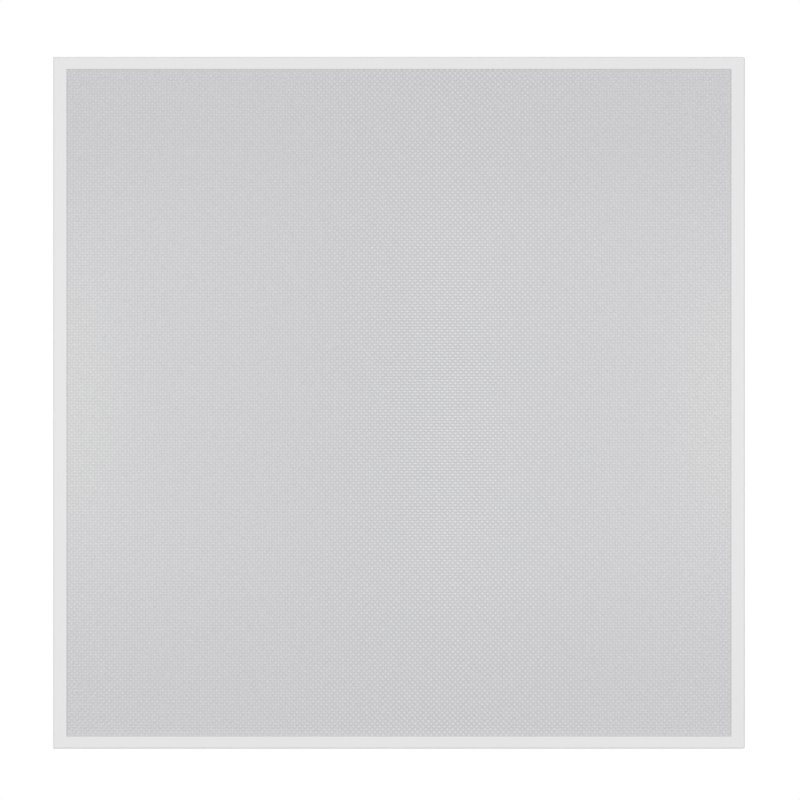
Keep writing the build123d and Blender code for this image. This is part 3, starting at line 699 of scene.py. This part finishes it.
def led(tree, package, resin, terminal, length, width, height, end, rim, cup_depth):
    """An LED package: a white cup of yellow resin between two soldered ends."""
    cup = tree.paint(tree.block(length - 2 * end, width, height), package)
    down = tree.axes(tree.node("InputNormal"))[2] < -0.5
    for share, rise in ((rim, 0.0), (CUP_FLOOR, cup_depth)):
        cup = tree.extrude(cup, down, rise, mode="FACES")
        down = cup.output("Top")
        inputs = {"Geometry": cup, "Selection": down, "Scale": share}
        cup = tree.node("ScaleElements", inputs, domain="FACE")
    cup = tree.paint(cup, resin, down)
    pad = tree.block(end, width * SOLDER_WIDTH, height * SOLDER_HEIGHT)
    lift = height * ((1 - SOLDER_HEIGHT) / 2)
    ends = [tree.move(pad, tree.vector(side * (length - end) / 2, 0.0, lift)) for side in (-1, 1)]
    soldered = tree.paint(tree.join(*ends), terminal)
    lowered = tree.move(tree.join(cup, soldered), tree.vector(0.0, 0.0, height * -0.5))
    return tree.repeat(lowered)


def cross_screw(
    tree, metal, head_radius, head_height, cone_depth, shank_radius, length,
    thread_pitch, thread_depth, recess_span, recess_width, recess_depth,
):
    """A cross-recess screw: domed or countersunk head, core and helical thread."""
    core = shank_radius - thread_depth
    blank = tree.turned([
        *profile(SCREW_POINT, core, core, length * -1),
        (core, cone_depth * -1), (head_radius, 0.0),
        *profile(SCREW_DOME, head_radius, head_height, 0.0),
    ], sides=32)
    top = tree.vector(0.0, 0.0, head_height)
    bar = tree.move(tree.block(recess_span, recess_width, recess_depth * 2), top)
    crossbar = tree.move(tree.block(recess_width, recess_span, recess_depth * 2), top)
    socket_width = recess_width * SOCKET_WIDTH
    socket = tree.block(socket_width, socket_width, recess_depth * SOCKET_DEPTH)
    middle = tree.move(socket, top, (0.0, 0.0, pi / 4))
    head = tree.cut(blank, bar, crossbar, middle)
    run = length - cone_depth - core
    spiral = tree.node("CurveSpiral", {
        "Resolution": THREAD_STEPS, "Rotations": run / thread_pitch, "Height": run,
        "Start Radius": core, "End Radius": core,
    })
    thread = tree.tube(spiral, thread_depth, sides=3)
    thread = tree.move(thread, tree.vector(0.0, 0.0, core * THREAD_START - length))
    return tree.paint(tree.repeat(tree.join(head, thread), turn_seed=4), metal)


def push_rivet(tree, plastic, head, head_height, grip, shank, tail, tail_height, slit):
    """A push rivet: domed head on the board, and a slit tail that has sprung open on the back."""
    seat = grip * -1
    blank = tree.turned([
        *profile(RIVET_DOME, head, head_height * -1, seat),
        (head, seat), (shank, seat), (shank, 0.0),
        *profile(SPRUNG_TAIL, tail, tail_height, 0.0),
        *profile(TAIL_TIP, shank, tail_height, 0.0),
    ], sides=20)
    cutter = tree.block(tail * SLIT_LENGTH, slit, tail_height * SLIT_DEPTH)
    lift = tree.vector(0.0, 0.0, tail_height * SLIT_LIFT)
    slits = [tree.move(cutter, lift, (0.0, 0.0, turn)) for turn in (0.0, pi / 2)]
    return tree.paint(tree.repeat(tree.cut(blank, *slits), turn_seed=11), plastic)


def pivot_rivet(tree, metal, head, height, seat, shank, shoulder, tail, tail_seat, tail_height):
    """A shoulder rivet that a grid clip turns on, with a spun dimple in its head."""
    rivet = tree.turned([
        *profile(PRESSED_TAIL, tail, tail_height * -1, tail_seat),
        (shank, tail_seat), (shank, 0.0), (head, 0.0), (head, shoulder),
        (shank, shoulder), (shank, seat), (head, seat),
        *profile(SPUN_HEAD, head, height, seat),
    ], sides=32)
    return tree.paint(tree.repeat(rivet), metal)


def wound_ring(tree, core, copper, radius, hole, height, wire, turns):
    """A ferrite ring with one layer of wire wound round it."""
    low = wire * 2
    inner, outer, high = hole + low, radius - low, height - low
    section = [(inner, low), (outer, low), (outer, high), (inner, high), (inner, low)]
    ring = tree.paint(tree.turned(section, sides=40), core)
    steps = turns * WIRE_STEPS
    line = tree.node("MeshLine", {"Count": steps + 1})
    share = tree.node("InputIndex") / steps
    around = share * (tau * WOUND_SHARE)
    wind = share * turns * tau
    across, up = (
        part.math("SIGN") * abs(part) ** SQUARENESS
        for part in (wind.math("COSINE"), wind.math("SINE"))
    )
    out = (radius + hole) / 2 + across * ((radius - hole) / 2 - wire)
    rise = height / 2 + up * (height / 2 - wire)
    place = tree.vector(out * around.math("COSINE"), out * around.math("SINE"), rise)
    curve = tree.node("MeshToCurve", {"Mesh": tree.put(line, place)})
    winding = tree.paint(tree.tube(curve, wire, sides=6), copper)
    return tree.repeat(tree.join(ring, winding))


# Sizes and colours that a user would change

COLOUR_NAMES = {
    "white_steel": "Powder-coated steel",
    "prismatic_lens": "Lens",
    "led_board": "LED boards",
    "led_chip": "LED resin",
    "white_nylon": "Nylon",
    "red_insulation": "Plus leads",
    "black_insulation": "Minus leads",
    "black_rubber": "Grommet",
    "zinc_steel": "Zinc-plated steel",
    "driver_case": "Driver case",
    "driver_pcb": "Driver board",
    "ferrite": "Ferrite",
    "capacitor_sleeve": "Capacitor sleeves",
    "copper_winding": "Copper wire",
    "terminal_grey": "Terminals",
    "terminal_button": "Terminal buttons",
}


def number_setting(name, about, default, low=0.0, **more):
    return bpy.props.FloatProperty(name=name, description=about, default=default, min=low, **more)


def mm_setting(name, about, default):
    """A length, with its default in millimetres."""
    kind = {"precision": 5, "subtype": "DISTANCE", "unit": "LENGTH"}
    return number_setting(name, about, default * MM, **kind)


def colour_setting(name, slot):
    return bpy.props.FloatVectorProperty(
        name=name, description=f"Base colour of the {name.lower()}", default=SLOT_COLOURS[slot],
        size=3, min=0.0, max=1.0, subtype="COLOR",
    )


class PanelColours(bpy.types.PropertyGroup):
    """Base colours of the panel's finishes"""

    __annotations__ = {slot: colour_setting(name, slot) for slot, name in COLOUR_NAMES.items()}


class LensSizes(bpy.types.PropertyGroup):
    """Sizes of the prismatic lens"""

    prism_length: mm_setting("Prism length", "Corner to corner along X", 4.6)
    prism_width: mm_setting("Prism width", "Corner to corner along Y", 4.78)
    prism_height: mm_setting("Prism height", "From the valleys to the tips", 0.8)
    rim: mm_setting("Rim", "Width of the plain border", 8.4)
    taper: mm_setting("Taper", "Over which the prisms grow from the border", 5.0)


class LedSizes(bpy.types.PropertyGroup):
    """Sizes of one LED package"""

    end: mm_setting("Soldered end", "Length of each soldered end", 0.22)
    cup_depth: mm_setting("Cup depth", "Depth of the resin below the rim", 0.1)
    rim: number_setting(
        "Cup share", "Cup's share of the package's face", 0.82, 0.1, max=0.95, subtype="FACTOR"
    )


class FastenerSizes(bpy.types.PropertyGroup):
    """Sizes of the screws and rivets"""

    small_shank: mm_setting("Small screw", "Shank radius of the small screws", 1.5)
    mount_shank: mm_setting("Mount screw", "Shank radius of the mount screws", 2.0)
    small_head: mm_setting("Small head", "Head height of the small screws", 2.0)
    mount_head: mm_setting("Mount head", "Head height of the mount screws", 2.6)
    thread_pitch: mm_setting("Thread pitch", "Pitch of the screws' threads", 0.7)
    thread_depth: mm_setting("Thread depth", "Depth of the screws' threads", 0.22)
    rivet_shank: mm_setting("Push rivet shank", "Radius of the push rivets", 1.5)
    rivet_tail: mm_setting("Push rivet tail", "Radius of the sprung tail", 2.1)
    rivet_head: mm_setting("Push rivet head", "Height of the head", 1.2)
    slit: mm_setting("Tail slit", "Width of the slits in the tail", 0.4)
    pivot_shank: mm_setting("Pivot", "Radius that the clips turn on", 2.5)
    pivot_tail: mm_setting("Pivot tail", "Radius of the tail inside", 3.75)
    pivot_shoulder: mm_setting("Pivot shoulder", "Height under the clip", 0.2)
    pivot_head: mm_setting("Pivot head", "Height of the head", 1.5)


class DriverSizes(bpy.types.PropertyGroup):
    """Sizes of what the driver's board carries"""

    choke_hole: mm_setting("Choke hole", "Radius of the hole in the wound ring", 2.6)
    choke_wire: mm_setting("Choke wire", "Radius of the wire", 0.3)
    yoke: mm_setting("Yoke", "Thickness of the transformer's yokes", 5.0)
    choke_turns: bpy.props.IntProperty(
        name="Choke turns", description="Turns of wire on the ring", default=22, min=4, max=60,
    )


class StageSettings(bpy.types.PropertyGroup):
    """Camera and lamps"""

    focal_length: number_setting("Focal length", "Of the camera, in millimetres", 100.0, 10.0)
    distance: mm_setting("Camera distance", "From the camera to the panel's face", 1910.0)
    shift_right: mm_setting("Camera right", "Camera's place along X", 0.86)
    shift_up: mm_setting("Camera up", "Camera's place along -Y", 2.4)
    room_light: number_setting("Room light", "Strength of the light from all round", 0.512)
    face_light: number_setting("Face light", "Strength of the distant lamp on the lens", 0.93)
    side_light: number_setting("Side light", "Power of each lamp at the sides", 4.6, unit="POWER")
    back_light: number_setting("Back light", "Power of the lamp over the back", 22.0, unit="POWER")


# Operators

PLACE_DIGITS = 5

# Cross recess, as shares of the screw head's radius
RECESS_SPAN, RECESS_WIDTH, RECESS_DEPTH = 1.15, 0.26, 0.36

# The stage round a panel that lies at the origin
FACE_LAMP, FACE_LAMP_ANGLE = (-0.11, -0.31, -1.0), radians(20)
SIDE_LAMPS = {"left_lamp": (-0.9, 0.0, -0.9), "right_lamp": (0.9, 0.0, -0.9)}
SIDE_LAMP_SIZE = (0.4, 4.0)
BACK_LAMP, BACK_LAMP_SIZE = (-0.9, -1.1, 1.9), 1.0
FLOOR_HEIGHT, FLOOR_REACH, FLOOR_LAP = 1.6 * MM, 9.0, 1 * MM
FLOOR_FADE = (0.4, 1.2)


class LEDPANEL_OT_steel(bpy.types.Operator):
    """Powder-coat the folded body and its end rail"""

    bl_idname = "led_panel.steel"
    bl_label = "Coat the Steel"

    def execute(self, context):
        half_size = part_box("body_tray")[1].y
        coat = powder_coat(context.scene.panel_colours.white_steel, half_size)
        dress(coat, "body_tray", "end_rail")
        return {"FINISHED"}


class LEDPANEL_OT_lens(bpy.types.Operator):
    """Mould the prismatic lens"""

    bl_idname = "led_panel.lens"
    bl_label = "Mould the Lens"

    def execute(self, context):
        sizes = context.scene.panel_lens
        low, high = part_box("diffuser")
        span = high - low
        colour = context.scene.panel_colours.prismatic_lens
        columns = round(span.x / sizes.prism_length)
        rows = round(span.y / sizes.prism_width)
        plastic = prismatic_plastic(colour, span.x, span.y, columns, rows)
        lens = grow(
            "prismatic_lens", pyramid_sheet, [plastic], length=span.x, width=span.y,
            columns=columns, rows=rows, prism_height=sizes.prism_height,
            rim=sizes.rim, taper=sizes.taper, thickness=span.z, front=low.z,
        )
        stand_in(lens, "prismatic_lens", "diffuser")
        return {"FINISHED"}


class LEDPANEL_OT_leds(bpy.types.Operator):
    """Print the LED boards and place their LEDs"""

    bl_idname = "led_panel.leds"
    bl_label = "Place the LEDs"

    def execute(self, context):
        colours, sizes = context.scene.panel_colours, context.scene.panel_leds
        boxes = [box for row in LED_ROWS for box in solids(row)]
        low, high = boxes[0]
        size = high - low
        places = middles(boxes, high.z)
        package = moulded_plastic("led_package", LED_WHITE)
        materials = [package, phosphor(colours.led_chip), zinc(context)]
        leds = grow(
            "led_packages", led, materials, places, length=size.x, width=size.y, height=size.z,
            end=sizes.end, rim=sizes.rim, cup_depth=sizes.cup_depth,
        )
        stand_in(leds, "led_chip", *LED_ROWS)

        columns, rows = (
            sorted({round(place[axis], PLACE_DIGITS) for place in places}) for axis in (0, 1)
        )
        mask = board_mask(colours.led_board, rows[1] - rows[0], rows[0], columns[1] - columns[0])
        dress(mask, *LED_BOARDS)
        return {"FINISHED"}


class LEDPANEL_OT_leads(bpy.types.Operator):
    """Finish the connectors, leads and grommet"""

    bl_idname = "led_panel.leads"
    bl_label = "Finish the Leads"

    def execute(self, context):
        colours = context.scene.panel_colours
        dress(nylon(context), "board_connectors")
        red = wire_insulation("red_insulation", colours.red_insulation)
        dress(red, "jumper_leads_plus", "output_lead_plus")
        black = wire_insulation("black_insulation", colours.black_insulation)
        dress(black, "jumper_leads_minus", "output_lead_minus")
        dress(moulded_plastic("black_rubber", colours.black_rubber), "lead_grommet")
        return {"FINISHED"}


class LEDPANEL_OT_screws(bpy.types.Operator):
    """Turn the screws of the end rail, driver, cover and cable clamp"""

    bl_idname = "led_panel.screws"
    bl_label = "Turn the Screws"

    def execute(self, context):
        sizes = context.scene.panel_fasteners
        kinds = (
            ("end_rail_screws", sizes.small_shank, sizes.small_head),
            ("driver_mount_screws", sizes.mount_shank, sizes.mount_head),
            ("driver_cover_screws", sizes.small_shank, 0.0),
            ("cable_clamp_screws", sizes.small_shank, sizes.small_head),
        )
        for node, shank, head_height in kinds:
            boxes = solids(node)
            low, high = boxes[0]
            head = (high.x - low.x) / 2
            seat = high.z - head_height
            screws = grow(
                f"cross_{node}", cross_screw, [zinc(context)], middles(boxes, seat),
                FASTENER_CREASE, head_radius=head, head_height=head_height,
                cone_depth=0.0 if head_height else head - shank, shank_radius=shank,
                length=seat - low.z, thread_pitch=sizes.thread_pitch,
                thread_depth=sizes.thread_depth, recess_span=head * RECESS_SPAN,
                recess_width=head * RECESS_WIDTH, recess_depth=head * RECESS_DEPTH,
            )
            stand_in(screws, "zinc_steel", node)
        return {"FINISHED"}


class LEDPANEL_OT_rivets(bpy.types.Operator):
    """Set the boards' push rivets, the clips' pivot rivets and the threaded inserts"""

    bl_idname = "led_panel.rivets"
    bl_label = "Set the Rivets"

    def execute(self, context):
        sizes = context.scene.panel_fasteners
        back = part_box("driver_base")[0].z
        boxes = solids("board_rivets")
        low, high = boxes[0]
        rivets = grow(
            "push_rivets", push_rivet, [nylon(context)], middles(boxes, back), FASTENER_CREASE,
            head=(high.x - low.x) / 2, head_height=sizes.rivet_head,
            grip=back - low.z - sizes.rivet_head, shank=sizes.rivet_shank,
            tail=sizes.rivet_tail, tail_height=high.z - back, slit=sizes.slit,
        )
        stand_in(rivets, "white_nylon", "board_rivets")

        boxes = solids("clip_rivets")
        low, high = boxes[0]
        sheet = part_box("led_board_1")[1].z - back
        pivots = grow(
            "pivot_rivets", pivot_rivet, [zinc(context)], middles(boxes, back), FASTENER_CREASE,
            head=(high.x - low.x) / 2, height=sizes.pivot_head,
            seat=high.z - sizes.pivot_head - back, shank=sizes.pivot_shank,
            shoulder=sizes.pivot_shoulder, tail=sizes.pivot_tail, tail_seat=sheet,
            tail_height=back + sheet - low.z,
        )
        stand_in(pivots, "zinc_steel", "clip_rivets")
        dress(zinc(context), "suspension_inserts")
        return {"FINISHED"}


class LEDPANEL_OT_clips(bpy.types.Operator):
    """Plate the swing-out grid clips"""

    bl_idname = "led_panel.clips"
    bl_label = "Plate the Clips"

    def execute(self, context):
        dress(zinc(context), *GRID_CLIPS)
        return {"FINISHED"}


class LEDPANEL_OT_driver_case(bpy.types.Operator):
    """Texture the driver's case, cover, lids and cable clamp"""

    bl_idname = "led_panel.driver_case"
    bl_label = "Texture the Driver Case"

    def execute(self, context):
        case = moulded_plastic("driver_case", context.scene.panel_colours.driver_case)
        dress(case, "driver_base", "driver_cover", "mains_lid", "output_lid", "cable_clamp_bar")
        return {"FINISHED"}


class LEDPANEL_OT_driver_board(bpy.types.Operator):
    """Finish the driver's board and wind its choke"""

    bl_idname = "led_panel.driver_board"
    bl_label = "Finish the Driver Board"

    def execute(self, context):
        colours, sizes = context.scene.panel_colours, context.scene.panel_driver
        dress(solder_mask(colours.driver_pcb), "driver_board")
        low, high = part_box("driver_transformer")
        half_winding = (high.x - low.x) / 2 - sizes.yoke
        core = core_and_tape(colours.ferrite, (low.x + high.x) / 2, half_winding)
        dress(core, "driver_transformer")
        dress(capacitor_sleeve(colours.capacitor_sleeve), "driver_capacitors")

        low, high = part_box("driver_choke")
        materials = [core, enamelled_copper(colours.copper_winding)]
        choke = grow(
            "wound_choke", wound_ring, materials, middles([(low, high)], low.z), CHOKE_CREASE,
            radius=(high.x - low.x) / 2, hole=sizes.choke_hole, height=high.z - low.z,
            wire=sizes.choke_wire, turns=sizes.choke_turns,
        )
        stand_in(choke, "copper_winding", "driver_choke")
        return {"FINISHED"}


class LEDPANEL_OT_terminals(bpy.types.Operator):
    """Finish the terminals and their push buttons"""

    bl_idname = "led_panel.terminals"
    bl_label = "Finish the Terminals"

    def execute(self, context):
        colours = context.scene.panel_colours
        grey = moulded_plastic("terminal_grey", colours.terminal_grey)
        dress(grey, "mains_terminal", "output_terminal")
        dress(moulded_plastic("terminal_button", colours.terminal_button), *BUTTONS)
        return {"FINISHED"}


class LEDPANEL_OT_stage(bpy.types.Operator):
    """Set up the camera, lamps, pale floor and plain white surroundings"""

    bl_idname = "led_panel.stage"
    bl_label = "Set the Stage"

    def execute(self, context):
        stage = context.scene.panel_stage
        context.scene.camera = self.camera(stage)
        self.lamp("face_lamp", "SUN", FACE_LAMP, stage.face_light).angle = FACE_LAMP_ANGLE
        for name, place in SIDE_LAMPS.items():
            tall = self.lamp(name, "AREA", place, stage.side_light)
            tall.shape = "RECTANGLE"
            tall.size, tall.size_y = SIDE_LAMP_SIZE
        self.lamp("back_lamp", "AREA", BACK_LAMP, stage.back_light).size = BACK_LAMP_SIZE
        self.floor()
        context.scene.world = self.surroundings(stage)
        context.scene.view_settings.view_transform = "Standard"
        return {"FINISHED"}

    def camera(self, stage):
        data = bpy.data.cameras.new("camera")
        data.lens = stage.focal_length
        camera = add_object("camera", data)
        camera.location = (stage.shift_right, -stage.shift_up, -stage.distance)
        camera.rotation_euler = (pi, 0.0, 0.0)
        return camera

    def lamp(self, name, kind, place, power):
        data = bpy.data.lights.new(name, kind)
        data.energy = power
        lamp = add_object(name, data)
        lamp.location = place
        lamp.rotation_euler = (-Vector(place)).to_track_quat("-Z", "Y").to_euler()
        lamp.visible_camera = False
        return data

    def floor(self):
        """Lies round the panel, at the top of its lip's fold. From below, the floor is clear."""
        paint = Finish("pale_floor")
        pale = paint.node("BsdfDiffuse", {"Color": FLOOR_GREY})
        white = paint.node("Emission", {"Color": WHITE, "Strength": 1.0})
        clear = paint.node("BsdfTransparent", {"Color": WHITE})
        away = (paint.x * paint.x + paint.y * paint.y) ** 0.5
        top = paint.node("MixShader", {0: paint.ramp(away, *FLOOR_FADE), 1: pale, 2: white})
        below = paint.node("NewGeometry").output("Backfacing")
        paint.end(paint.node("MixShader", {0: below, 1: top, 2: clear}))
        corners = [
            (x * reach, y * reach, FLOOR_HEIGHT)
            for reach in (FLOOR_REACH, CAD_BOX[1][0] - FLOOR_LAP)
            for x, y in ((-1, -1), (1, -1), (1, 1), (-1, 1))
        ]
        sides = [(corner, (corner + 1) % 4) for corner in range(4)]
        mesh = bpy.data.meshes.new("floor")
        mesh.from_pydata(corners, [], [(a, b, b + 4, a + 4) for a, b in sides])
        mesh.materials.append(paint.material)
        floor = add_object("floor", mesh)
        floor.visible_diffuse = floor.visible_glossy = floor.visible_shadow = False

    def surroundings(self, stage):
        """A plain world, white where it is seen or mirrored."""
        world = bpy.data.worlds.new("plain_white")
        world.use_nodes = True
        world.node_tree.nodes.clear()
        graph = Graph(world.node_tree)
        light = graph.node("Background", {"Color": WHITE, "Strength": stage.room_light})
        white = graph.node("Background", {"Color": WHITE, "Strength": 1.0})
        path = graph.node("LightPath")
        seen = path.output("Is Camera Ray").math("MAXIMUM", path.output("Is Glossy Ray"))
        both = graph.node("MixShader", {0: seen, 1: light, 2: white})
        graph.node("OutputWorld", {"Surface": both})
        return world


OPERATORS = (
    LEDPANEL_OT_stage,
    LEDPANEL_OT_steel,
    LEDPANEL_OT_lens,
    LEDPANEL_OT_leds,
    LEDPANEL_OT_leads,
    LEDPANEL_OT_screws,
    LEDPANEL_OT_rivets,
    LEDPANEL_OT_clips,
    LEDPANEL_OT_driver_case,
    LEDPANEL_OT_driver_board,
    LEDPANEL_OT_terminals,
)
SETTINGS = {
    "panel_colours": PanelColours,
    "panel_lens": LensSizes,
    "panel_leds": LedSizes,
    "panel_fasteners": FastenerSizes,
    "panel_driver": DriverSizes,
    "panel_stage": StageSettings,
}


class LEDPANEL_PT_sidebar(bpy.types.Panel):
    """The panel's steps and settings"""

    bl_idname = "LEDPANEL_PT_sidebar"
    bl_label = "Recessed LED Panel"
    bl_space_type = "VIEW_3D"
    bl_region_type = "UI"
    bl_category = "LED Panel"

    def draw(self, context):
        for operator in OPERATORS:
            self.layout.operator(operator.bl_idname)
        for name, group in SETTINGS.items():
            box = self.layout.box()
            box.label(text=group.__doc__)
            for setting in group.__annotations__:
                box.prop(getattr(context.scene, name), setting)


def register():
    for group in SETTINGS.values():
        bpy.utils.register_class(group)
    for name, group in SETTINGS.items():
        setattr(bpy.types.Scene, name, bpy.props.PointerProperty(type=group))
    for shown in (*OPERATORS, LEDPANEL_PT_sidebar):
        bpy.utils.register_class(shown)


def unregister():
    for shown in (LEDPANEL_PT_sidebar, *reversed(OPERATORS)):
        bpy.utils.unregister_class(shown)
    for name, group in SETTINGS.items():
        delattr(bpy.types.Scene, name)
        bpy.utils.unregister_class(group)


def main():
    register()
    for operator in OPERATORS:
        step = operator.bl_idname.split(".")[1]
        getattr(bpy.ops.led_panel, step)()


if __name__ == "__main__":
    main()
